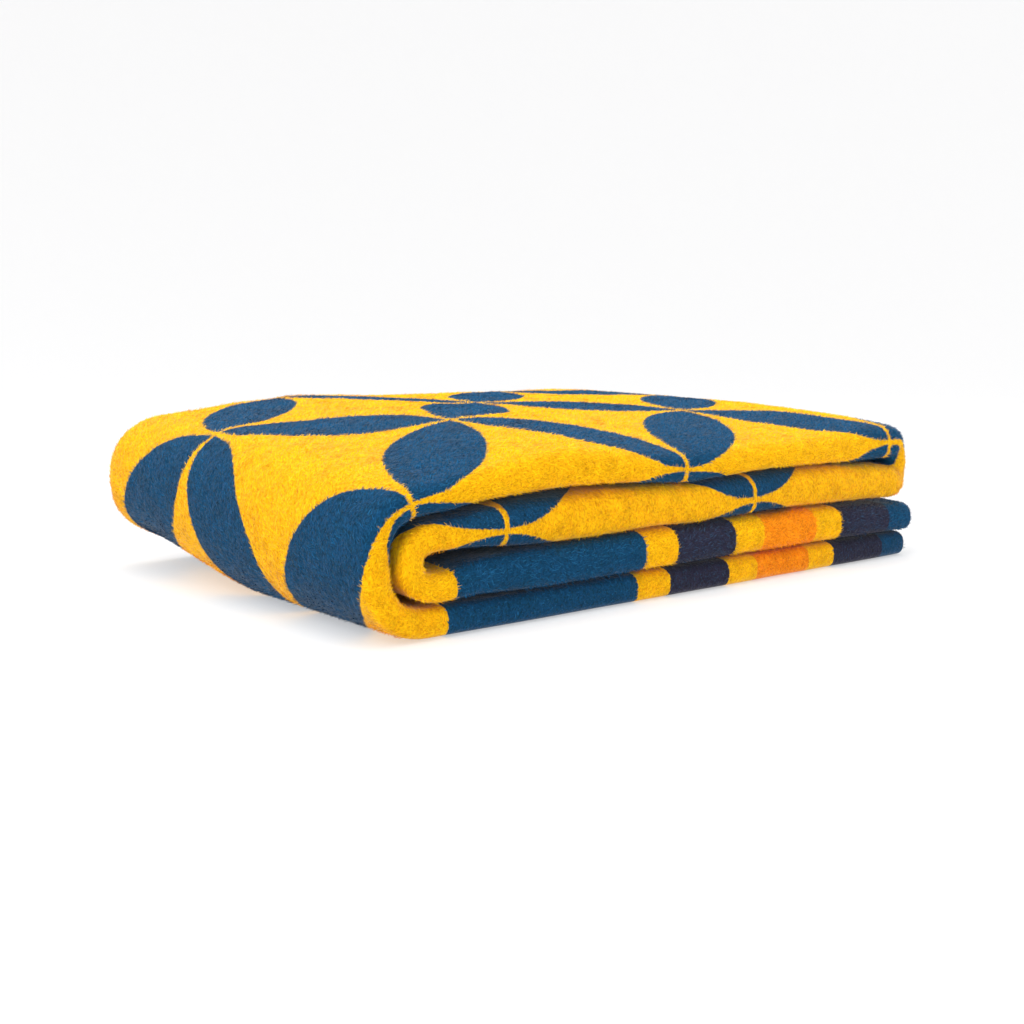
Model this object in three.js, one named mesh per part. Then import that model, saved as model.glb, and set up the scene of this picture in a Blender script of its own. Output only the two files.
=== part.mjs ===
import * as THREE from "three";

// A wool blanket folded for a shelf: one woven cloth, folded in half twice across its width
// into a strip of four plies, and then twice along its length into a stack of four layers.
// Millimetres, +Z up. The stack lies on z = 0, its width folds face -Y, its round wrap faces -X,
// and both ends of the cloth lie at +X. The origin is under the middle of the stack.

// The cloth as it was cut
const clothWidth = 1400;
const clothLength = 2010;
const clothThickness = 3.4;
const halfThickness = clothThickness / 2;

// The folded stack
const stackLength = 515;
const stackDepth = 355;
const frontY = -stackDepth / 2;

// The strip's layers from the floor up: how high the middle of each one lies at the front, how
// far apart its four plies lie, and how far its folded edge lies behind the stack's front.
// The bottom layer's outer ply lies flat on the floor.
const bottomPitch = 5;
const layers = {
  bottom: { height: halfThickness + 1.5 * bottomPitch, plyPitch: bottomPitch, setBack: 2.5 },
  lower: { height: 32.6, plyPitch: 7.1, setBack: 0 },
  upper: { height: 60.2, plyPitch: 7.5, setBack: 1 },
  top: { height: 86, plyPitch: 4.9, setBack: 3 },
};

// Soft rises and dips of a layer's middle at the front: where along X, how much, over what reach,
// and how much looser its plies lie there. The rises fade out towards the back over swellDepth.
const swells = [
  { layer: "top", at: -215, rise: -6, reach: 46, slack: 0 },
  { layer: "top", at: -100, rise: 4.2, reach: 55, slack: 1.8 },
  { layer: "top", at: 12, rise: -4.2, reach: 55, slack: 0 },
  { layer: "top", at: 255, rise: 6.5, reach: 90, slack: 0.6 },
  { layer: "upper", at: -205, rise: -3, reach: 30, slack: 0 },
  { layer: "upper", at: -85, rise: -1.5, reach: 50, slack: 0.4 },
  { layer: "upper", at: 12, rise: -1.8, reach: 50, slack: -0.2 },
  { layer: "upper", at: 200, rise: 1.2, reach: 60, slack: 0.3 },
  { layer: "lower", at: -205, rise: -2.4, reach: 26, slack: 0 },
  { layer: "lower", at: -85, rise: -1.1, reach: 50, slack: -0.2 },
];
const swellDepth = 130;

// The three folds along the length. A fold begins at x, reaches past it, and fullness makes it
// squarer. Its plies lie pitch apart.
const outerWrap = { from: "bottom", to: "top", x: -207, reach: 37, fullness: 0.04, pitch: 4.8 };
const endFold = { from: "top", to: "upper", x: 235, reach: 18, fullness: 0.03, pitch: 4.9 };
const innerCurl = { from: "upper", to: "lower", x: -200, reach: 21, fullness: 0.03, pitch: 5 };

// How far into a run a fold keeps its plies close
const foldSpread = 70;

// Where the cloth's lower end lies. Its other end lies where the length runs out.
const bottomEndX = 251;

// The folded edge along the front is squarer than a half circle.
const edgeFullness = 0.07;

// The stack is pressed flat along its front and full behind it. It is lower at both ends, where
// it fills out later, and latest at the wrap.
const crown = { rise: 0.3, reach: 85, endFall: 0.2, endDelay: 0.6, wrapDelay: 1.8, backFall: 0.02 };

// The corner of the outer wrap at the back stands off the floor.
const liftedCorner = { rise: 22, fromX: -150, overX: 80, fromY: -20, overY: 190 };

// The selvedges lie uneven at the back: the upper one of each pair stands out.
const selvedgeStep = 4;

// The end fold's front edge is tucked in, deepest where it is half turned.
const pleat = { depth: 6, reach: 50, middle: 0.5, width: 0.5 };

// Facets of each run and fold, across the width and along the length
const acrossFacets = { run: 4, edge: 8, innerEdge: 5 };
const alongFacets = { run: 9, outerWrap: 14, endFold: 10, innerCurl: 12 };

const smooth = (t) => {
  const c = Math.min(1, Math.max(0, t));
  return c * c * (3 - 2 * c);
};

const mix = (a, b, t) => a + (b - a) * t;

const swellShare = (swell, x) => Math.exp(-(((x - swell.at) / swell.reach) ** 2));

function layerHeight(name, x, y) {
  const fade = Math.exp(-Math.max(0, y - frontY) / swellDepth);
  let height = layers[name].height;
  for (const swell of swells) {
    if (swell.layer === name) {
      height += fade * swell.rise * swellShare(swell, x);
    }
  }
  return height;
}

function loosePitch(name, x) {
  let pitch = layers[name].plyPitch;
  for (const swell of swells) {
    if (swell.layer === name) {
      pitch += swell.slack * swellShare(swell, x);
    }
  }
  return pitch;
}

// A half turn with squared shoulders, as shares of its reach, for t from 0 to 1
function turned(t, fullness) {
  const angle = Math.PI * t;
  return { side: Math.sin(angle) + fullness * Math.sin(3 * angle), ahead: Math.cos(angle) };
}

function foldPoint(fold, side, t, y) {
  const turn = turned(t, fold.fullness);
  const x = fold.x + side * fold.reach * turn.side;
  const z = mix(layerHeight(fold.from, x, y), layerHeight(fold.to, x, y), (1 - turn.ahead) / 2);
  return { x, z };
}

function foldLength(fold, side) {
  const steps = 200;
  let length = 0;
  for (let i = 0; i < steps; i++) {
    const a = foldPoint(fold, side, i / steps, frontY);
    const b = foldPoint(fold, side, (i + 1) / steps, frontY);
    length += Math.hypot(b.x - a.x, b.z - a.z);
  }
  return length;
}

// The lower layer's end lies where the cloth's length runs out.
const lowerEndX = innerCurl.x + clothLength
  - (bottomEndX - outerWrap.x) - foldLength(outerWrap, -1)
  - (endFold.x - outerWrap.x) - foldLength(endFold, 1)
  - (endFold.x - innerCurl.x) - foldLength(innerCurl, -1);

// The strip along its length, as runs and folds in turn, from the bottom layer's end
const alongPieces = [
  { run: "bottom", fromX: bottomEndX, toX: outerWrap.x, facets: alongFacets.run },
  { fold: outerWrap, side: -1, facets: alongFacets.outerWrap },
  { run: "top", fromX: outerWrap.x, toX: endFold.x, facets: alongFacets.run },
  { fold: endFold, side: 1, facets: alongFacets.endFold },
  { run: "upper", fromX: endFold.x, toX: innerCurl.x, facets: alongFacets.run },
  { fold: innerCurl, side: -1, facets: alongFacets.innerCurl },
  { run: "lower", fromX: innerCurl.x, toX: lowerEndX, facets: alongFacets.run },
];

// The strip across its width: four runs, the folded edge, the edge nested in it, and the back
const acrossPieces = [
  acrossFacets.run, acrossFacets.edge, acrossFacets.run, acrossFacets.innerEdge,
  acrossFacets.run, acrossFacets.innerEdge, acrossFacets.run,
];

function pieceAt(place, count) {
  const index = Math.min(count - 1, Math.max(0, Math.floor(place)));
  return { index, t: place - index };
}

// Where a run's plies lie close, because a fold begins or ends there
function runPitch(index, x) {
  const piece = alongPieces[index];
  const loose = loosePitch(piece.run, x);
  const ends = [
    { neighbour: alongPieces[index - 1], x: piece.fromX },
    { neighbour: alongPieces[index + 1], x: piece.toX },
  ];
  let pitch = loose;
  for (const end of ends) {
    if (end.neighbour) {
      const near = mix(end.neighbour.fold.pitch, loose, smooth(Math.abs(x - end.x) / foldSpread));
      pitch = Math.abs(near - loose) > Math.abs(pitch - loose) ? near : pitch;
    }
  }
  return pitch;
}

// How the strip lies at a place along it: its plies' pitch, its set back, and how far it has
// turned in the end fold
function stripLie(place) {
  const { index, t } = pieceAt(place, alongPieces.length);
  const piece = alongPieces[index];
  if (piece.run) {
    const x = mix(piece.fromX, piece.toX, t);
    return { pitch: runPitch(index, x), setBack: layers[piece.run].setBack, turn: 0 };
  }
  const { from, to, pitch } = piece.fold;
  return {
    pitch,
    setBack: mix(layers[from].setBack, layers[to].setBack, smooth(t)),
    turn: piece.fold === endFold ? t : 0,
  };
}

function stripPoint(place, y) {
  const { index, t } = pieceAt(place, alongPieces.length);
  const piece = alongPieces[index];
  if (piece.run) {
    const x = mix(piece.fromX, piece.toX, t);
    return { x, z: layerHeight(piece.run, x, y) };
  }
  return foldPoint(piece.fold, piece.side, t, y);
}

const nudge = 1e-4;

// The strip's middle with its normal, which points to the outside of the outer wrap
function stripLine(place, y) {
  const low = stripPoint(place - nudge, y);
  const high = stripPoint(place + nudge, y);
  const length = Math.hypot(high.x - low.x, high.z - low.z);
  return {
    ...stripPoint(place, y),
    normalX: -(high.z - low.z) / length,
    normalZ: (high.x - low.x) / length,
  };
}

// The four plies across the strip, from one selvedge to the other: how far behind the middle of
// the folded edge, and how far out of the strip's middle
function acrossPlace(place, pitch, run) {
  const { index, t } = pieceAt(place, acrossPieces.length);
  const edge = turned(t, edgeFullness);
  const nested = turned(t, 0);
  const outer = 1.5 * pitch;
  const inner = 0.5 * pitch;
  const places = [
    { back: (run - selvedgeStep) * (1 - t), out: -outer },
    { back: -outer * edge.side, out: -outer * edge.ahead },
    { back: run * t, out: outer },
    { back: run + inner * nested.side, out: pitch + inner * nested.ahead },
    { back: run * (1 - t), out: inner },
    { back: -inner * nested.side, out: inner * nested.ahead },
    { back: (run + selvedgeStep) * t, out: -inner },
  ];
  return places[index];
}

// The folded edge pushes in where the end fold turns it round.
function tuckedIn(turn, back) {
  const aside = Math.abs(turn - pleat.middle) / pleat.width;
  const deep = turn > 0 && turn < 1 ? smooth(1 - aside) : 0;
  const near = 1 - smooth(back / pleat.reach);
  return pleat.depth * deep * near;
}

// The stack's uneven fullness: it swells behind its front, and one corner stands off the floor.
function fullHeight(x, y, z) {
  const behind = Math.max(0, y - frontY);
  const towardsEnd = (2 * x / stackLength) ** 2;
  const delay = x < 0 ? crown.wrapDelay : crown.endDelay;
  const reach = crown.reach * (1 + delay * towardsEnd);
  const swelling = (1 - Math.exp(-behind / reach)) * (1 - crown.endFall * towardsEnd);
  const full = 1 + crown.rise * swelling - crown.backFall * smooth(behind / stackDepth);
  const cornerX = smooth((liftedCorner.fromX - x) / liftedCorner.overX);
  const cornerY = smooth((y - liftedCorner.fromY) / liftedCorner.overY);
  const lift = liftedCorner.rise * cornerX * cornerY;
  const above = z - halfThickness;
  return halfThickness + lift + above * (full - lift / layers.top.height);
}

// A point of the cloth's middle surface. Places count the runs and folds passed.
function foldedPoint(across, along) {
  const lie = stripLie(along);
  const turns = Math.PI * (1.5 + 0.5 + 0.5) * lie.pitch;
  const run = (clothWidth - turns) / 4;
  const { back, out } = acrossPlace(across, lie.pitch, run);
  const edgeMiddle = frontY + halfThickness + 1.5 * lie.pitch + lie.setBack;
  const y = edgeMiddle + back + tuckedIn(lie.turn, back);
  const line = stripLine(along, y);
  const x = line.x + line.normalX * out;
  const z = line.z + line.normalZ * out;
  return new THREE.Vector3(x, y, fullHeight(x, y, z));
}

function clothNormal(across, along) {
  const acrossStep = foldedPoint(across + nudge, along).sub(foldedPoint(across - nudge, along));
  const alongStep = foldedPoint(across, along + nudge).sub(foldedPoint(across, along - nudge));
  return acrossStep.cross(alongStep).normalize();
}

// The places of the facets' edges: every run and fold is cut into its own number of facets.
function stations(facetCounts) {
  const places = [];
  facetCounts.forEach((count, index) => {
    for (let i = 0; i < count; i++) {
      places.push(index + i / count);
    }
  });
  places.push(facetCounts.length);
  return places;
}

// Every square facet is split the same way in plan, so that plies on each other stay parallel.
// A box's square facet with corners a, b, c and d is listed as the triangles a b d and b c d.
function alignFacets(geometry) {
  const index = geometry.getIndex();
  const position = geometry.getAttribute("position");
  for (let i = 0; i < index.count; i += 6) {
    const [a, b, d, , c] = index.array.slice(i, i + 6);
    const alongX = position.getX(c) - position.getX(a);
    const alongY = position.getY(c) - position.getY(a);
    if (alongX * alongY > 0) {
      index.array.set([a, b, c, a, c, d], i);
    }
  }
}

// The flat cloth is a thin box; each of its points is then carried to its folded place.
function foldedCloth() {
  const acrossStations = stations(acrossPieces);
  const alongStations = stations(alongPieces.map((piece) => piece.facets));
  const acrossCount = acrossStations.length - 1;
  const alongCount = alongStations.length - 1;
  const geometry = new THREE.BoxGeometry(1, 1, 1, acrossCount, alongCount, 1);
  const position = geometry.getAttribute("position");
  for (let i = 0; i < position.count; i++) {
    const across = acrossStations[Math.round((position.getX(i) + 0.5) * acrossCount)];
    const along = alongStations[Math.round((position.getY(i) + 0.5) * alongCount)];
    const side = Math.sign(position.getZ(i)) * halfThickness;
    const point = foldedPoint(across, along).addScaledVector(clothNormal(across, along), side);
    position.setXYZ(i, point.x, point.y, point.z);
  }
  geometry.deleteAttribute("normal");
  geometry.deleteAttribute("uv");
  alignFacets(geometry);
  geometry.computeBoundingBox();
  const middle = geometry.boundingBox.getCenter(new THREE.Vector3());
  geometry.translate(-middle.x, -middle.y, -geometry.boundingBox.min.z);
  return geometry;
}

const wool = new THREE.MeshStandardMaterial({ color: 0x0f4f85, roughness: 0.95, metalness: 0 });

const blanket = new THREE.Mesh(foldedCloth(), wool);
blanket.name = "folded_cloth";

const group = new THREE.Group();
group.add(blanket);

export default group;
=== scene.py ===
import math

import bmesh
import bpy
import numpy as np
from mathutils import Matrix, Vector
from mathutils import noise
from mathutils.bvhtree import BVHTree


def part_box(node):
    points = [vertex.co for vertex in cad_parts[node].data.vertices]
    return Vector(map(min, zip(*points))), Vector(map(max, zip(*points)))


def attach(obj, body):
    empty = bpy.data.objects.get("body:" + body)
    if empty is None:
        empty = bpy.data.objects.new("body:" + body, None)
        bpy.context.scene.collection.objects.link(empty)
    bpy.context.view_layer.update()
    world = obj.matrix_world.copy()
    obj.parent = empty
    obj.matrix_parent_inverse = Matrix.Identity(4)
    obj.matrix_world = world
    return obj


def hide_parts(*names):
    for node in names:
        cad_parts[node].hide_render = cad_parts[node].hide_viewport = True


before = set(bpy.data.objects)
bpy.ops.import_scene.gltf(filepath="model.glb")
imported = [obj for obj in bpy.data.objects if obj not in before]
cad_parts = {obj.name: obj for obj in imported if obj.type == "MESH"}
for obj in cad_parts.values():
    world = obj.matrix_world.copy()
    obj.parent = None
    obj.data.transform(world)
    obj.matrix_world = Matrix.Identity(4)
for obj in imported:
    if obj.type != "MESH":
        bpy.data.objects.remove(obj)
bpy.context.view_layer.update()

mm = 0.001
scene = bpy.context.scene


# The cloth: one woven blanket, flat, and how it is folded

cloth = {
    "width": 1400.0,  # mm, across the loom
    "length": 2010.0,
    "thickness": 3.4,
    "stackLength": 515.0,
    "stackDepth": 355.0,
    "selvedgeStep": 4.0,  # how unevenly the selvedges lie at the back
    "edgeFullness": 0.07,  # how square the folded edge along the front is
    "foldSpread": 70.0,  # how far into a run a fold keeps its plies close
    "bottomEndX": 251.0,
    "swellDepth": 130.0,
    "tightBehind": 0.24,  # how much closer the end fold's plies lie behind the front
}
frontY = -cloth["stackDepth"] / 2
halfThickness = cloth["thickness"] / 2
bottomPitch = 5.0

# the strip's layers from the floor up: the height of their middle, how far apart
# their four plies lie, how far they are set back from the front, and where in the slow
# wander of the edges they begin
layers = {
    "bottom": {
        "height": halfThickness + 1.5 * bottomPitch, "pitch": bottomPitch, "setBack": 2.5, "phase": 0.0,
    },
    "lower": {"height": 32.6, "pitch": 7.1, "setBack": 0.0, "phase": 3.7},
    "upper": {"height": 60.2, "pitch": 7.5, "setBack": 1.0, "phase": 8.1},
    "top": {"height": 86.0, "pitch": 4.9, "setBack": 3.0, "phase": 13.9},
}

# soft rises and dips at the front: layer, place along X, rise, reach, looser plies
swells = [
    ("top", -215, -6.0, 46, 0.0),
    ("top", -100, 4.2, 55, 1.8),
    ("top", 12, -4.2, 55, 0.0),
    ("top", 255, 2.4, 90, 2.85),
    ("upper", -205, -1.2, 30, 0.0),
    ("upper", -85, -1.5, 50, 0.4),
    ("upper", 12, -1.8, 50, -0.2),
    ("upper", 200, 1.2, 60, 0.3),
    ("upper", 245, -3.6, 60, 0.1),
    ("lower", -205, -3.4, 26, 0.0),
    ("lower", -85, -1.1, 50, -0.2),
    ("lower", 255, -2.5, 60, -1.3),
]

folds = {
    "outerWrap": {
        "from": "bottom", "to": "top", "side": -1,
        "x": -207.0, "reach": 37.0, "fullness": 0.04, "pitch": 4.8,
    },
    "endFold": {
        "from": "top", "to": "upper", "side": 1,
        "x": 235.0, "reach": 15.0, "fullness": 0.0, "pitch": 7.2,
    },
    "innerCurl": {
        "from": "upper", "to": "lower", "side": -1,
        "x": -200.0, "reach": 21.5, "fullness": 0.03, "pitch": 4.6,
    },
}

crown = {"rise": 0.3, "reach": 85.0, "endFall": 0.2, "endDelay": 0.6, "wrapDelay": 1.8, "backFall": 0.02}
liftedCorner = {"rise": 22.0, "fromX": -150.0, "overX": 80.0, "fromY": -20.0, "overY": 190.0}
pleat = {"depth": 6.0, "reach": 50.0}

# how finely each run and fold is cut, and the slow wander of the soft surfaces
fineness = {
    "across": [40, 14, 40, 6, 14, 5, 14],
    "along": [52, 26, 54, 18, 52, 18, 52],
    "rim": [0.35, 0.9, 1.7],  # mm from the cloth's cut edge, where it rounds off
    "endRuns": ((340, 340), (458, 455)),  # mm, about how long the first and last runs are
}
wander = {
    "edge": 1.1,  # mm that the front edges stray
    "edgeScale": 0.021,
    "lump": 0.8,  # mm that the soft lumps rise
    "lumpScale": 0.028,
    "fine": 0.35,
    "fineScale": 0.09,
    "fromZ": 6.0,  # the lumps begin above the floor and grow over this height
    "overZ": 40.0,
}


def smooth(t):
    c = np.clip(t, 0.0, 1.0)
    return c * c * (3 - 2 * c)


def mix(a, b, t):
    return a + (b - a) * t


def layerHeight(name, x, y):
    fade = np.exp(-np.maximum(0, y - frontY) / cloth["swellDepth"])
    height = layers[name]["height"] + 0 * x
    for layer, at, rise, reach, _slack in swells:
        if layer == name:
            height = height + fade * rise * np.exp(-((x - at) / reach) ** 2)
    return height


def loosePitch(name, x):
    pitch = layers[name]["pitch"]
    for layer, at, _rise, reach, slack in swells:
        if layer == name:
            pitch += slack * math.exp(-((x - at) / reach) ** 2)
    return pitch


def turned(t, fullness):
    angle = math.pi * t
    return np.sin(angle) + fullness * np.sin(3 * angle), np.cos(angle)


def foldPoint(fold, t, y):
    side, ahead = turned(t, fold["fullness"])
    x = fold["x"] + fold["side"] * fold["reach"] * side + 0 * y
    return x, mix(layerHeight(fold["from"], x, y), layerHeight(fold["to"], x, y), (1 - ahead) / 2)


def foldLength(fold):
    x, z = foldPoint(fold, np.linspace(0, 1, 201), np.full(201, frontY))
    return float(np.hypot(np.diff(x), np.diff(z)).sum())


lowerEndX = (
    folds["innerCurl"]["x"] + cloth["length"]
    - (cloth["bottomEndX"] - folds["outerWrap"]["x"]) - foldLength(folds["outerWrap"])
    - (folds["endFold"]["x"] - folds["outerWrap"]["x"]) - foldLength(folds["endFold"])
    - (folds["endFold"]["x"] - folds["innerCurl"]["x"]) - foldLength(folds["innerCurl"])
)

# the strip along its length, from the bottom layer's end: runs and folds in turn
alongPieces = [
    {"run": "bottom", "fromX": cloth["bottomEndX"], "toX": folds["outerWrap"]["x"]},
    {"fold": folds["outerWrap"]},
    {"run": "top", "fromX": folds["outerWrap"]["x"], "toX": folds["endFold"]["x"]},
    {"fold": folds["endFold"]},
    {"run": "upper", "fromX": folds["endFold"]["x"], "toX": folds["innerCurl"]["x"]},
    {"fold": folds["innerCurl"]},
    {"run": "lower", "fromX": folds["innerCurl"]["x"], "toX": lowerEndX},
]


def pieceAt(place, count):
    index = min(count - 1, max(0, math.floor(place)))
    return index, place - index


def runPitch(index, x):
    piece = alongPieces[index]
    loose = loosePitch(piece["run"], x)
    pitch = loose
    for other, endX in ((index - 1, piece["fromX"]), (index + 1, piece["toX"])):
        if 0 <= other < len(alongPieces):
            share = float(smooth(abs(x - endX) / cloth["foldSpread"]))
            near = mix(alongPieces[other]["fold"]["pitch"], loose, share)
            if abs(near - loose) > abs(pitch - loose):
                pitch = near
    return pitch


def stripLie(place):
    # the plies' pitch, the set back, the turn in the end fold, and the wander's phase
    index, t = pieceAt(place, len(alongPieces))
    piece = alongPieces[index]
    if "run" in piece:
        layer = layers[piece["run"]]
        x = mix(piece["fromX"], piece["toX"], t)
        return runPitch(index, x), layer["setBack"], 0.0, layer["phase"]
    fold = piece["fold"]
    share = float(smooth(t))
    setBack = mix(layers[fold["from"]]["setBack"], layers[fold["to"]]["setBack"], share)
    phase = mix(layers[fold["from"]]["phase"], layers[fold["to"]]["phase"], share)
    return fold["pitch"], setBack, t if fold is folds["endFold"] else 0.0, phase


def stripPoint(place, y):
    index, t = pieceAt(place, len(alongPieces))
    piece = alongPieces[index]
    if "run" in piece:
        x = mix(piece["fromX"], piece["toX"], t) + 0 * y
        return x, layerHeight(piece["run"], x, y)
    return foldPoint(piece["fold"], t, y)


nudge = 1e-4


def stripLine(place, y):
    lowX, lowZ = stripPoint(place - nudge, y)
    highX, highZ = stripPoint(place + nudge, y)
    length = np.hypot(highX - lowX, highZ - lowZ)
    x, z = stripPoint(place, y)
    return x, z, -(highZ - lowZ) / length, (highX - lowX) / length


def acrossPlace(across, pitch, run):
    # the four plies across the strip: how far back, and how far out of its middle
    index = np.clip(np.floor(across), 0, 6).astype(int)
    t = across - index
    step = cloth["selvedgeStep"]
    outer, inner = 1.5 * pitch, 0.5 * pitch
    edgeSide, edgeAhead = turned(t, cloth["edgeFullness"])
    side, ahead = turned(t, 0.0)
    flat = np.ones_like(t)
    back = [
        (run - step) * (1 - t), -outer * edgeSide, run * t, run + inner * side,
        run * (1 - t), -inner * side, (run + step) * t,
    ]
    out = [
        -outer * flat, -outer * edgeAhead, outer * flat, pitch + inner * ahead,
        inner * flat, inner * ahead, -inner * flat,
    ]
    return np.choose(index, back), np.choose(index, out)


def fullHeight(x, y, z):
    behind = np.maximum(0, y - frontY)
    towardsEnd = (2 * x / cloth["stackLength"]) ** 2
    delay = np.where(x < 0, crown["wrapDelay"], crown["endDelay"])
    reach = crown["reach"] * (1 + delay * towardsEnd)
    swelling = (1 - np.exp(-behind / reach)) * (1 - crown["endFall"] * towardsEnd)
    full = 1 + crown["rise"] * swelling - crown["backFall"] * smooth(behind / cloth["stackDepth"])
    cornerX = smooth((liftedCorner["fromX"] - x) / liftedCorner["overX"])
    cornerY = smooth((y - liftedCorner["fromY"]) / liftedCorner["overY"])
    lift = liftedCorner["rise"] * cornerX * cornerY
    return halfThickness + lift + (z - halfThickness) * (full - lift / layers["top"]["height"])


def foldedRow(across, along):
    # one row of the cloth's middle surface across the strip, in mm
    pitch, setBack, turn, phase = stripLie(along)
    run = (cloth["width"] - math.pi * 2.5 * pitch) / 4
    back, out = acrossPlace(across, pitch, run)
    deep = float(smooth(1 - abs(turn - 0.5) / 0.5)) if 0 < turn < 1 else 0.0
    tuck = pleat["depth"] * deep * (1 - smooth(back / pleat["reach"]))
    middleX = float(stripPoint(along, np.array([frontY]))[0][0])
    shift = wander["edge"] * noise.noise(Vector((middleX * wander["edgeScale"], phase, 0.5)))
    y = frontY + halfThickness + 1.5 * pitch + setBack + back + tuck + shift
    x, z, normalX, normalZ = stripLine(along, y)
    tight = 0.0
    if 2 <= along <= 5:  # the end fold, and the top and upper runs that meet in it
        fromFold = max(0.0, folds["endFold"]["x"] - middleX)
        tight = cloth["tightBehind"] * float(smooth(1 - fromFold / cloth["foldSpread"]))
    out = out * (1 - tight * (1 - np.exp(-np.maximum(0, y - frontY) / cloth["swellDepth"])))
    x = x + normalX * out
    z = z + normalZ * out
    return np.stack([x, y, fullHeight(x, y, z)], axis=1)


def stations(counts, rim, lengths):
    # places along one direction, with a few close ones where the cut edge rounds off
    places = [index + i / count for index, count in enumerate(counts) for i in range(count)]
    places.append(float(len(counts)))
    ends = [r / lengths[0] for r in rim] + [len(counts) - r / lengths[1] for r in rim]
    return np.array(sorted(places + ends))


def flatPlaces(points, total):
    # how far each station lies along the flat cloth, in metres
    steps = np.linalg.norm(np.diff(points, axis=0), axis=1)
    places = np.concatenate([[0], np.cumsum(steps)])
    return places / places[-1] * total * mm


def gridBox(name, acrossCount, alongCount):
    # a flat cloth of two faces joined round the edge; returns the far side's order too
    bm = bmesh.new()
    sides = bm.verts.layers.int.new("side")
    home = bm.verts.layers.int.new("home")
    bmesh.ops.create_grid(bm, x_segments=acrossCount - 1, y_segments=alongCount - 1, size=0.5)
    near = list(bm.verts)
    made = bmesh.ops.extrude_face_region(bm, geom=list(bm.faces), use_keep_orig=True)
    far = [v for v in made["geom"] if isinstance(v, bmesh.types.BMVert)]
    order = {(round(v.co.x, 6), round(v.co.y, 6)): i for i, v in enumerate(near)}
    for i, v in enumerate(near):
        v[home] = i
    for v in far:
        v[sides] = 1
        v[home] = order[(round(v.co.x, 6), round(v.co.y, 6))]
    me = bpy.data.meshes.new(name)
    bm.to_mesh(me)
    bm.free()
    return me


def readInts(me, name):
    values = np.zeros(len(me.vertices), dtype=np.int32)
    me.attributes[name].data.foreach_get("value", values)
    return values


def makeCloth():
    across = stations(fineness["across"], fineness["rim"], fineness["endRuns"][0])
    along = stations(fineness["along"], fineness["rim"], fineness["endRuns"][1])
    middle = np.stack([foldedRow(across, a) for a in along])
    acrossStep = np.stack([foldedRow(across + nudge, a) - foldedRow(across - nudge, a) for a in along])
    alongStep = np.stack([foldedRow(across, a + nudge) - foldedRow(across, a - nudge) for a in along])
    normal = np.cross(acrossStep, alongStep)
    normal /= np.linalg.norm(normal, axis=2, keepdims=True)

    halfway = len(along) // 2
    u = flatPlaces(middle[halfway], cloth["width"])
    v = flatPlaces(middle[:, np.searchsorted(across, 1.5)], cloth["length"])
    rimU = np.minimum(u, u[-1] - u) / mm
    rimV = np.minimum(v, v[-1] - v) / mm
    rim = np.minimum.outer(rimV, rimU)
    roundOff = np.sqrt(1 - (1 - np.clip(rim / halfThickness, 0, 1)) ** 2 * 0.9)
    half = halfThickness * roundOff

    # lumps that lift every ply together, so that none meets another
    flatMiddle = middle.reshape(-1, 3)
    lumps = np.array([
        wander["lump"] * noise.noise(Vector((x * wander["lumpScale"], y * wander["lumpScale"], 3.1)))
        + wander["fine"] * noise.noise(Vector((x * wander["fineScale"], y * wander["fineScale"], 9.7)))
        for x, y, _z in flatMiddle
    ]).reshape(middle.shape[:2])
    middle[..., 2] += lumps * smooth((middle[..., 2] - wander["fromZ"]) / wander["overZ"])

    acrossCount, alongCount = len(across), len(along)
    me = gridBox("wool_cloth", acrossCount, alongCount)
    side, home = readInts(me, "side"), readInts(me, "home")
    row, column = np.divmod(home, acrossCount)
    outward = np.where(side == 1, 1.0, -1.0)[:, None] * normal[row, column]
    points = middle[row, column] + half[row, column][:, None] * outward
    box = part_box("folded_cloth")
    low, high = points.min(0), points.max(0)
    points[:, :2] -= (low + high)[:2] / 2
    points[:, 2] -= low[2]
    points *= mm
    points[:, :2] += [(box[0][i] + box[1][i]) / 2 for i in (0, 1)]
    points[:, 2] += box[0][2]
    me.vertices.foreach_set("co", points.ravel())

    # the cloth's own map is the flat cloth in metres, its reverse beside its face
    uv = me.uv_layers.new(name="flatCloth")
    corner = np.zeros(len(me.loops), dtype=np.int32)
    me.loops.foreach_get("vertex_index", corner)
    place = np.stack([u[column] + (side == 1) * pattern["reverseAt"], v[row]], axis=1)
    cornerPlace = place[corner]
    for p in me.polygons:  # the cut edge takes its colours from the face
        spans = [side[corner[i]] for i in p.loop_indices]
        if min(spans) != max(spans):
            for i in p.loop_indices:
                cornerPlace[i, 0] = u[column[corner[i]]]
    uv.data.foreach_set("uv", cornerPlace.astype(np.float32).ravel())
    root = me.attributes.new("root", "FLOAT_VECTOR", "POINT")
    root.data.foreach_set("vector", np.column_stack([place, 0 * side]).astype(np.float32).ravel())
    comb = me.attributes.new("comb", "FLOAT_VECTOR", "POINT")
    tangent = alongStep / np.linalg.norm(alongStep, axis=2, keepdims=True)
    comb.data.foreach_set("vector", tangent[row, column].astype(np.float32).ravel())
    me.polygons.foreach_set("use_smooth", [True] * len(me.polygons))
    me.update()
    bm = bmesh.new()
    bm.from_mesh(me)
    bmesh.ops.recalc_face_normals(bm, faces=bm.faces)
    bm.to_mesh(me)
    bm.free()
    ob = bpy.data.objects.new("wool_cloth", me)
    scene.collection.objects.link(ob)
    return ob, outward


# The pattern: the traditional orange peel of overlapping rings, and plain bars at both ends

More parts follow.
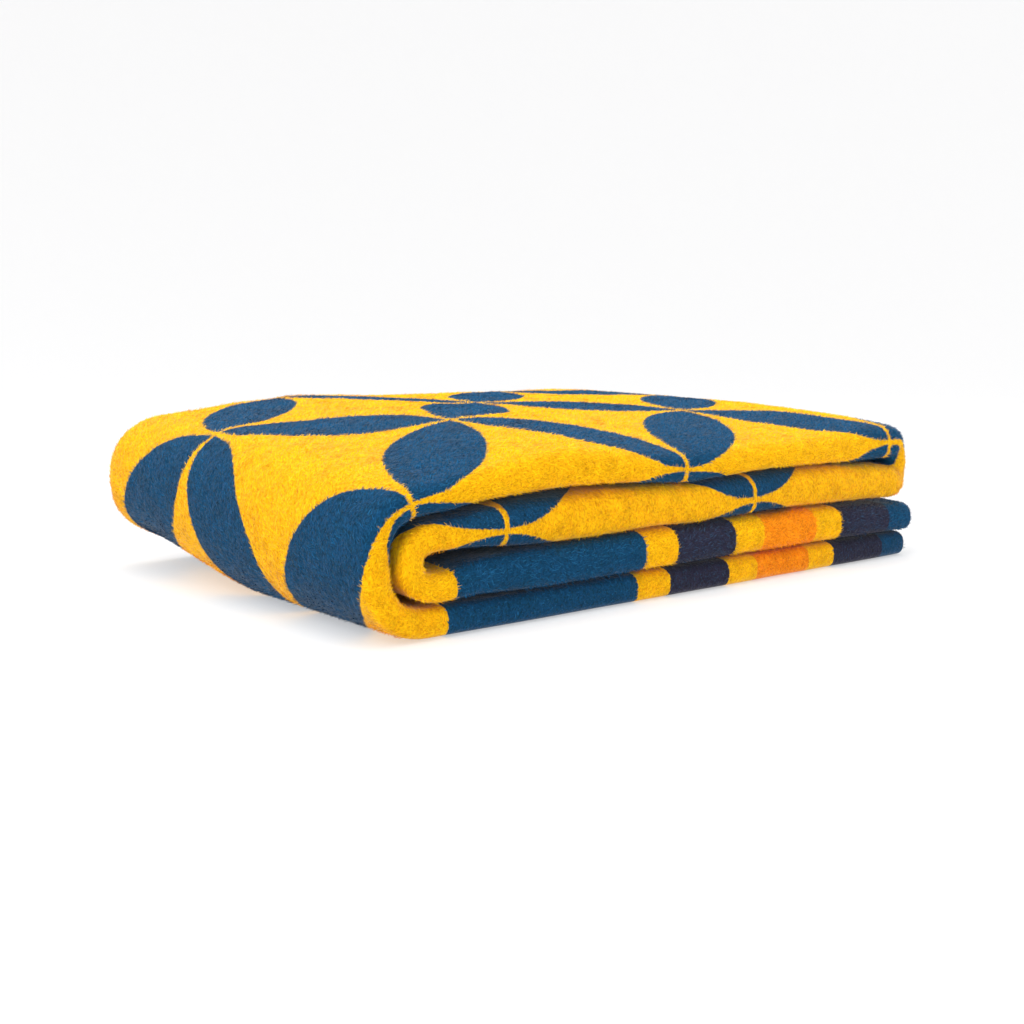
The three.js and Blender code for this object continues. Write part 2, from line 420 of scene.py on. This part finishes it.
pattern = {
    "cellWide": 1.4 / 12,  # m, twelve across the width
    "cellLong": 0.1118,  # ten along the field
    "border": 0.446,  # the field's distance from each end
    "reverseAt": 13 * 1.4 / 12,  # where the reverse lies on the cloth's own map
    "fray": 0.0007,  # m that the pile drags the colours across an edge
    "frayScale": 420.0,
    "crisp": 160.0,  # how sharply a petal's edge turns from one colour to the other
    "ring": 0.985,  # a ring's radius, in cells
    "yellow": (0.930, 0.515, 0.002),
    "blue": (0.0045, 0.060, 0.150),
    "charcoal": (0.026, 0.024, 0.052),
    "orange": (0.930, 0.300, 0.004),
    "bars": [  # mm from the end, and the colour that begins there
        (0, "blue"), (29, "charcoal"), (88, "yellow"), (117, "orange"),
        (175, "yellow"), (204, "charcoal"), (262, "yellow"), (292, "blue"),
    ],
}
finish = {
    "roughness": 0.95,
    "specular": 0.12,
    "sheen": 0.30,
    "hairSheen": 0.18,
    "sheenRoughness": 0.3,
    "mottle": 0.30,  # how much lighter and darker the felted tufts are
    "tuftScale": 95.0,
    "speckScale": 700.0,
    "hueShift": 0.014,  # how far a light or dark tuft leans in hue
    "hairTone": 1.1,  # how much the single hairs differ
    "glint": (0.014, 0.082, 0.135),  # what the palest hairs add to the dark colours
    "pitShade": (0.80, 0.62, 0.45),  # painted shade: how dark the hollows between the tufts are painted
    "pitShadeScale": 520.0,
    "pitShadeLevel": 0.52,
    "lumpScale": 210.0,
    "hairScale": 900.0,
    "lumpBump": 0.0011,  # m
    "hairBump": 0.0005,
}


class Nodes:
    # short calls for a material's nodes
    def __init__(self, material):
        self.tree = material.node_tree
        self.tree.nodes.clear()

    def add(self, kind, inputs=None, **settings):
        node = self.tree.nodes.new(kind)
        for key, value in settings.items():
            setattr(node, key, value)
        for key, value in (inputs or {}).items():
            if isinstance(value, bpy.types.NodeSocket):
                self.tree.links.new(value, node.inputs[key])
            else:
                node.inputs[key].default_value = value
        return node

    def cloud(self, place, scale, detail, roughness=0.5):
        inputs = {"Vector": place, "Scale": scale, "Detail": detail, "Roughness": roughness}
        return self.add("ShaderNodeTexNoise", inputs).outputs

    def math(self, operation, a, b=None, c=None, clamp=False):
        inputs = {i: x for i, x in enumerate((a, b, c)) if x is not None}
        return self.add("ShaderNodeMath", inputs, operation=operation, use_clamp=clamp).outputs[0]

    def blend(self, share, a, b, how="MIX"):
        node = self.add("ShaderNodeMix", data_type="RGBA", blend_type=how)
        for key, value in ((0, share), (6, a), (7, b)):
            if isinstance(value, bpy.types.NodeSocket):
                self.tree.links.new(value, node.inputs[key])
            else:
                node.inputs[key].default_value = value
        return node.outputs[2]


def colour(name):
    return (*pattern[name], 1.0)


def wovenColour(n, place):
    # the colour of the weave at a place of the flat cloth, its edges frayed by the pile
    drag = n.cloud(place, pattern["frayScale"], 2.0, 0.7)["Color"]
    centred = n.add("ShaderNodeVectorMath", {0: drag, 1: (0.5, 0.5, 0.5)}, operation="SUBTRACT")
    moved = n.add(
        "ShaderNodeVectorMath",
        {0: centred.outputs[0], 1: (4 * pattern["fray"],) * 3, 2: place},
        operation="MULTIPLY_ADD",
    )
    parts = n.add("ShaderNodeSeparateXYZ", {0: moved.outputs[0]})
    u, v = parts.outputs[0], parts.outputs[1]
    reverse = n.math("GREATER_THAN", u, pattern["reverseAt"] - 0.05)
    cellsU = n.math("DIVIDE", u, pattern["cellWide"])
    cellsV = n.math("DIVIDE", n.math("SUBTRACT", v, pattern["border"]), pattern["cellLong"])
    x, y = n.math("PINGPONG", cellsU, 1.0), n.math("PINGPONG", cellsV, 1.0)
    acrossX, acrossY = n.math("SUBTRACT", 1.0, x), n.math("SUBTRACT", 1.0, y)
    below = n.math("ADD", n.math("MULTIPLY", acrossX, acrossX), n.math("MULTIPLY", y, y))
    above = n.math("ADD", n.math("MULTIPLY", x, x), n.math("MULTIPLY", acrossY, acrossY))
    away = n.math("SQRT", n.math("MAXIMUM", below, above))
    outside = n.math("SUBTRACT", away, pattern["ring"])
    petal = n.math("MULTIPLY_ADD", outside, pattern["crisp"], 0.5, clamp=True)
    shown = n.math("ABSOLUTE", n.math("SUBTRACT", petal, reverse))
    field = n.blend(shown, colour("blue"), colour("yellow"))

    fromEnd = n.math("MINIMUM", v, n.math("SUBTRACT", cloth["length"] * mm, v))
    bars = n.add("ShaderNodeValToRGB", {0: n.math("DIVIDE", fromEnd, pattern["border"])})
    ramp = bars.color_ramp
    ramp.interpolation = "CONSTANT"
    for index, (start, name) in enumerate(pattern["bars"]):
        element = ramp.elements[index] if index < 2 else ramp.elements.new(start * mm / pattern["border"])
        element.position = start * mm / pattern["border"]
        element.color = colour(name)
    inBorder = n.math("LESS_THAN", fromEnd, pattern["border"])
    return n.blend(inBorder, field, bars.outputs[0])


def woolMaterial(name, lighter=0.0, hairs=False):
    material = bpy.data.materials.new(name)
    material.use_nodes = True
    n = Nodes(material)
    if hairs:
        place = n.add("ShaderNodeAttribute", attribute_name="root").outputs["Vector"]
        tint = n.add("ShaderNodeAttribute", attribute_name="tint").outputs["Fac"]
    else:
        place = n.add("ShaderNodeUVMap", uv_map="flatCloth").outputs[0]
        tint = n.cloud(place, finish["speckScale"], 2.0)[0]
    base = wovenColour(n, place)
    tufts = n.cloud(place, finish["tuftScale"], 4.0, 0.62)[0]
    ownTone = n.math("MULTIPLY", n.math("SUBTRACT", tint, 0.5), finish["hairTone"])
    shade = n.math("ADD", n.math("SUBTRACT", tufts, 0.5), ownTone)
    gain = n.math("MULTIPLY_ADD", shade, 2 * finish["mottle"], 1.0 + lighter)
    hue = n.math("MULTIPLY_ADD", shade, finish["hueShift"], 0.5)
    toned = n.add("ShaderNodeHueSaturation", {"Hue": hue, "Value": gain, "Color": base})
    red = n.add("ShaderNodeSeparateColor", {0: base}).outputs[0]
    dark = n.math("SUBTRACT", 1.0, red, clamp=True)
    pale = n.math("MULTIPLY", dark, n.math("POWER", tint, 3.0 if hairs else 5.0))
    finished = n.blend(pale, toned.outputs[0], (*finish["glint"], 1.0), "ADD")
    if not hairs:
        # painted shade: noise picks small hollows between the tufts and paints them darker and orange-brown
        pitShadeNoise = n.cloud(place, finish["pitShadeScale"], 2.0, 0.6)[0]
        deep = n.math("MULTIPLY", n.math("SUBTRACT", finish["pitShadeLevel"], pitShadeNoise), 6.0, clamp=True)
        finished = n.blend(deep, finished, n.blend(1.0, finished, (*finish["pitShade"], 1.0), "MULTIPLY"))
    shader = n.add(
        "ShaderNodeBsdfPrincipled",
        {
            "Base Color": finished,
            "Roughness": finish["roughness"],
            "Specular IOR Level": finish["specular"],
            "Sheen Weight": finish["hairSheen" if hairs else "sheen"],
            "Sheen Roughness": finish["sheenRoughness"],
        },
    )
    if not hairs:
        lumps = n.cloud(place, finish["lumpScale"], 3.0, 0.6)[0]
        hair = n.cloud(place, finish["hairScale"], 2.0, 0.7)[0]
        coarse = {"Height": lumps, "Distance": finish["lumpBump"], "Strength": 0.8}
        low = n.add("ShaderNodeBump", coarse).outputs[0]
        close = {"Height": hair, "Distance": finish["hairBump"], "Strength": 0.8, "Normal": low}
        high = n.add("ShaderNodeBump", close).outputs[0]
        n.tree.links.new(high, shader.inputs["Normal"])
    n.add("ShaderNodeOutputMaterial", {0: shader.outputs[0]})
    return material


# The nap: short hairs raised from the cloth, laid over along it and matted

nap = {
    "pieces": 5,
    "hairs": 56000,  # on each piece
    "length": 0.0029,  # m
    "width": 0.00034,
    "bend": 0.35,  # how far a hair's tip bows back down
    "lift": (0.06, 0.55),  # radians that a hair stands off the cloth
    "stray": 0.95,  # radians that single hairs turn aside from the comb
    "swirl": 5.0,  # radians that tufts of hairs turn together
    "swirlScale": 55.0,
    "size": (0.45, 1.25),
    "seed": 11,
    "roll": 0.5,  # radians that a hair rolls to either side
    "feelers": 9,  # rays that feel for open air over each place
    "reach": 0.045,
    "skin": 0.0006,  # m above the cloth, where the rays start
    "open": 1.6,  # how soon an open place counts as fully open
    "floorGap": 0.0002,  # m, so that no hair reaches into the floor
    "spot": 0.0006,  # m, a hair's own spot on the bake map
}


def openAir(me, outward):
    # how open the air is over each point of the cloth, so that hair grows where it shows
    tree = BVHTree.FromPolygons([v.co for v in me.vertices], [p.vertices for p in me.polygons])
    rng = np.random.default_rng(nap["seed"])
    shares = np.zeros(len(me.vertices), dtype=np.float32)
    for index, vertex in enumerate(me.vertices):
        normal = Vector(outward[index])
        if vertex.co.z < 0.004 and normal.z < -0.3:
            continue
        start = vertex.co + normal * nap["skin"]
        free = 0
        for _ in range(nap["feelers"]):
            way = Vector(rng.normal(size=3)).normalized() + normal * 1.05
            hit = tree.ray_cast(start, way.normalized(), nap["reach"])[0]
            if hit is None and start.z + way.z * 0.002 > 0:
                free += 1
        shares[index] = free / nap["feelers"]
    return shares


def makeHair():
    # one flat hair along X, in its own unit length: a strip that narrows and bows
    bm = bmesh.new()
    bmesh.ops.create_grid(bm, x_segments=2, y_segments=1, size=0.5)
    for v in bm.verts:
        v.co.x += 0.5
        narrow = 1 - 0.35 * v.co.x if v.co.x < 0.9 else 0.0
        v.co.y *= nap["width"] / nap["length"] * narrow
        v.co.z = v.co.x * (1 - v.co.x) * nap["bend"]
    bmesh.ops.remove_doubles(bm, verts=bm.verts, dist=1e-5)
    me = bpy.data.meshes.new("hair")
    bm.to_mesh(me)
    bm.free()
    me.polygons.foreach_set("use_smooth", [True] * len(me.polygons))
    ob = bpy.data.objects.new("hair", me)
    scene.collection.objects.link(ob)
    return ob


def napTree(hair, seed, density):
    tree = bpy.data.node_groups.new(f"nap_{seed}", "GeometryNodeTree")
    tree.interface.new_socket("Geometry", in_out="INPUT", socket_type="NodeSocketGeometry")
    tree.interface.new_socket("Geometry", in_out="OUTPUT", socket_type="NodeSocketGeometry")

    def add(kind, inputs=None, **settings):
        node = tree.nodes.new(kind)
        for key, value in settings.items():
            setattr(node, key, value)
        for key, value in (inputs or {}).items():
            if isinstance(value, bpy.types.NodeSocket):
                tree.links.new(value, node.inputs[key])
            else:
                node.inputs[key].default_value = value
        return node

    def chance(low, high, own, kind="FLOAT"):
        node = add("FunctionNodeRandomValue", data_type=kind)
        node.inputs[2].default_value = low
        node.inputs[3].default_value = high
        node.inputs["Seed"].default_value = 10 * seed + own
        return node.outputs[1]

    ground = add("NodeGroupInput").outputs[0]
    air = add("GeometryNodeInputNamedAttribute", {"Name": "air"}, data_type="FLOAT").outputs[0]
    thick = add("ShaderNodeMath", {0: air, 1: density}, operation="MULTIPLY").outputs[0]
    spread = add("GeometryNodeDistributePointsOnFaces", {"Mesh": ground, "Density": thick, "Seed": seed})
    comb = add("GeometryNodeInputNamedAttribute", {"Name": "comb"}, data_type="FLOAT_VECTOR").outputs[0]
    upright = add("FunctionNodeAlignRotationToVector", {"Vector": spread.outputs["Normal"]}, axis="Z")
    combed = add(
        "FunctionNodeAlignRotationToVector", {"Rotation": upright.outputs[0], "Vector": comb},
        axis="X", pivot_axis="Z",
    )
    swirl = add("ShaderNodeTexNoise", {"Scale": nap["swirlScale"], "Detail": 1.0}).outputs[0]
    tuft = add("ShaderNodeMath", {0: swirl, 1: 0.5}, operation="SUBTRACT").outputs[0]
    single = chance(-nap["stray"], nap["stray"], 1)
    turn = add("ShaderNodeMath", {0: tuft, 1: nap["swirl"], 2: single}, operation="MULTIPLY_ADD").outputs[0]
    stray = add("ShaderNodeCombineXYZ", {"Z": turn}).outputs[0]
    aside = add("FunctionNodeRotateRotation", {0: combed.outputs[0], 1: stray}, rotation_space="LOCAL")
    up = chance(-nap["lift"][1], -nap["lift"][0], 2)
    lift = add("ShaderNodeCombineXYZ", {"Y": up, "X": chance(-nap["roll"], nap["roll"], 3)}).outputs[0]
    raised = add("FunctionNodeRotateRotation", {0: aside.outputs[0], 1: lift}, rotation_space="LOCAL")
    shape = add("GeometryNodeObjectInfo", {"Object": hair})
    rooted = add(
        "GeometryNodeStoreNamedAttribute", {"Geometry": spread.outputs["Points"], "Name": "tint"},
        data_type="FLOAT", domain="POINT",
    )
    tree.links.new(chance(0.0, 1.0, 4), rooted.inputs["Value"])
    share = chance(nap["size"][0], nap["size"][1], 5)
    size = add("ShaderNodeMath", {0: share, 1: nap["length"]}, operation="MULTIPLY")
    grown = add(
        "GeometryNodeInstanceOnPoints",
        {"Points": rooted.outputs[0], "Instance": shape.outputs["Geometry"], "Rotation": raised.outputs[0]},
    )
    tree.links.new(size.outputs[0], grown.inputs["Scale"])
    real = add("GeometryNodeRealizeInstances", {0: grown.outputs[0]})
    add("NodeGroupOutput", {0: real.outputs[0]})
    return tree


def makeNap(ground, hair, index, density, material):
    # grows one share of the hairs, and keeps the root's place on the flat cloth
    mod = ground.modifiers.new("nap", "NODES")
    mod.node_group = napTree(hair, nap["seed"] + index, density)
    grown = ground.evaluated_get(bpy.context.evaluated_depsgraph_get())
    me = bpy.data.meshes.new_from_object(grown)
    ground.modifiers.remove(mod)
    me.name = f"nap_{index + 1}"
    count = len(me.vertices)
    place = np.zeros(3 * count, dtype=np.float32)
    me.attributes["root"].data.foreach_get("vector", place)
    place = place.reshape(-1, 3)[:, :2]
    co = np.zeros(3 * count, dtype=np.float32)
    me.vertices.foreach_get("co", co)
    co[2::3] = np.maximum(co[2::3], nap["floorGap"])
    me.vertices.foreach_set("co", co)
    corner = np.zeros(len(me.loops), dtype=np.int32)
    me.loops.foreach_get("vertex_index", corner)
    spot = np.array([[0, 0], [0, 1], [0.5, 2], [1, 0], [1, 1]]) * nap["spot"]  # in a hair's own order
    local = spot[np.arange(count) % 5]
    fitted = (place + local) / (pattern["reverseAt"] + 1.5)
    for name in ("flatCloth", "comb", "air", "side", "home"):
        if name in me.attributes:
            me.attributes.remove(me.attributes[name])
    uv = me.uv_layers.new(name="OFBake")
    uv.data.foreach_set("uv", fitted[corner].astype(np.float32).ravel())
    me.materials.clear()
    me.materials.append(material)
    ob = bpy.data.objects.new(me.name, me)
    scene.collection.objects.link(ob)
    return ob


# The stage: a pale floor that sweeps up all round, soft light, and the camera

studio = {
    "floor": (0.52, 0.52, 0.523),
    "flatRadius": 2.2,
    "sweep": 1.6,
    "glow": 0.45,  # the floor gives light of its own, as a light table does
    "world": 0.66,
    "lights": [  # name, place, size, watts
        ("overhead", (-0.2, 0.2, 2.4), 2.4, 44.0),
        ("left", (-2.0, -0.5, 1.7), 1.3, 19.0),
        ("frontRight", (1.2, -2.0, 1.3), 1.3, 6.0),
    ],
    "camera": (-0.6508, -0.7838, 0.1800),
    "down": 7.99,
    "turned": -39.24,
    "lens": 46.86,
}


def makeFloor():
    bm = bmesh.new()
    radius, sweep = studio["flatRadius"], studio["sweep"]
    profile = [(0.0, 0.0), (radius, 0.0)]
    for i in range(1, 13):
        angle = math.pi / 2 * i / 12
        profile.append((radius + sweep * math.sin(angle), sweep * (1 - math.cos(angle))))
    made = [bm.verts.new((x, 0.0, z)) for x, z in profile]
    for a, b in zip(made, made[1:]):
        bm.edges.new((a, b))
    bmesh.ops.spin(
        bm, geom=bm.verts[:] + bm.edges[:], cent=(0, 0, 0), axis=(0, 0, 1),
        angle=2 * math.pi, steps=64, use_merge=True,
    )
    bmesh.ops.remove_doubles(bm, verts=bm.verts, dist=1e-5)
    bmesh.ops.recalc_face_normals(bm, faces=bm.faces)
    if sum(f.normal.z for f in bm.faces) < 0:
        bmesh.ops.reverse_faces(bm, faces=bm.faces)
    me = bpy.data.meshes.new("floor")
    bm.to_mesh(me)
    bm.free()
    me.polygons.foreach_set("use_smooth", [True] * len(me.polygons))
    material = bpy.data.materials.new("pale_floor")
    material.use_nodes = True
    shader = material.node_tree.nodes["Principled BSDF"]
    shader.inputs["Base Color"].default_value = (*studio["floor"], 1.0)
    shader.inputs["Roughness"].default_value = 0.9
    shader.inputs["Emission Color"].default_value = (1.0, 1.0, 1.0, 1.0)
    shader.inputs["Emission Strength"].default_value = studio["glow"]
    me.materials.append(material)
    ob = bpy.data.objects.new("floor", me)
    scene.collection.objects.link(ob)


def makeLights():
    world = bpy.data.worlds.new("studio")
    world.use_nodes = True
    background = world.node_tree.nodes["Background"]
    background.inputs["Color"].default_value = (1.0, 1.0, 1.0, 1.0)
    background.inputs["Strength"].default_value = studio["world"]
    scene.world = world
    for name, place, size, watts in studio["lights"]:
        light = bpy.data.lights.new(name, "AREA")
        light.size = size
        light.energy = watts
        ob = bpy.data.objects.new(name, light)
        ob.location = place
        ob.rotation_euler = (-Vector(place) + Vector((0, 0, 0.05))).to_track_quat("-Z", "Y").to_euler()
        scene.collection.objects.link(ob)


def makeCamera():
    camera = bpy.data.cameras.new("camera")
    camera.lens = studio["lens"]
    camera.sensor_width = 36.0
    camera.clip_end = 50.0
    ob = bpy.data.objects.new("camera", camera)
    ob.location = studio["camera"]
    ob.rotation_euler = (math.radians(90 - studio["down"]), 0.0, math.radians(studio["turned"]))
    scene.collection.objects.link(ob)
    scene.camera = ob


scene.view_settings.view_transform = "Standard"
makeCamera()
makeLights()
makeFloor()
print("stage: camera, lights and floor are set")

blanket, outward = makeCloth()
blanket.data.materials.append(woolMaterial("wool_weave"))
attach(blanket, "root")
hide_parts("folded_cloth")
print(f"cloth: {len(blanket.data.polygons)} faces")

air = openAir(blanket.data, outward)
airLayer = blanket.data.attributes.new("air", "FLOAT", "POINT")
openness = smooth(air * nap["open"])
airLayer.data.foreach_set("value", openness.astype(np.float32))
openArea = sum(p.area * float(np.mean(openness[list(p.vertices)])) for p in blanket.data.polygons)
print(f"cloth: {openArea:.3f} square metres lie in open air")

hairWool = woolMaterial("wool_nap", lighter=0.06, hairs=True)
hair = makeHair()
for index in range(nap["pieces"]):
    piece = makeNap(blanket, hair, index, nap["hairs"] / openArea, hairWool)
    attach(piece, "root")
    print(f"nap: {piece.name} has {len(piece.data.polygons)} faces")
bpy.data.objects.remove(hair)
for name in ("air", "comb", "root", "side", "home"):
    blanket.data.attributes.remove(blanket.data.attributes[name])
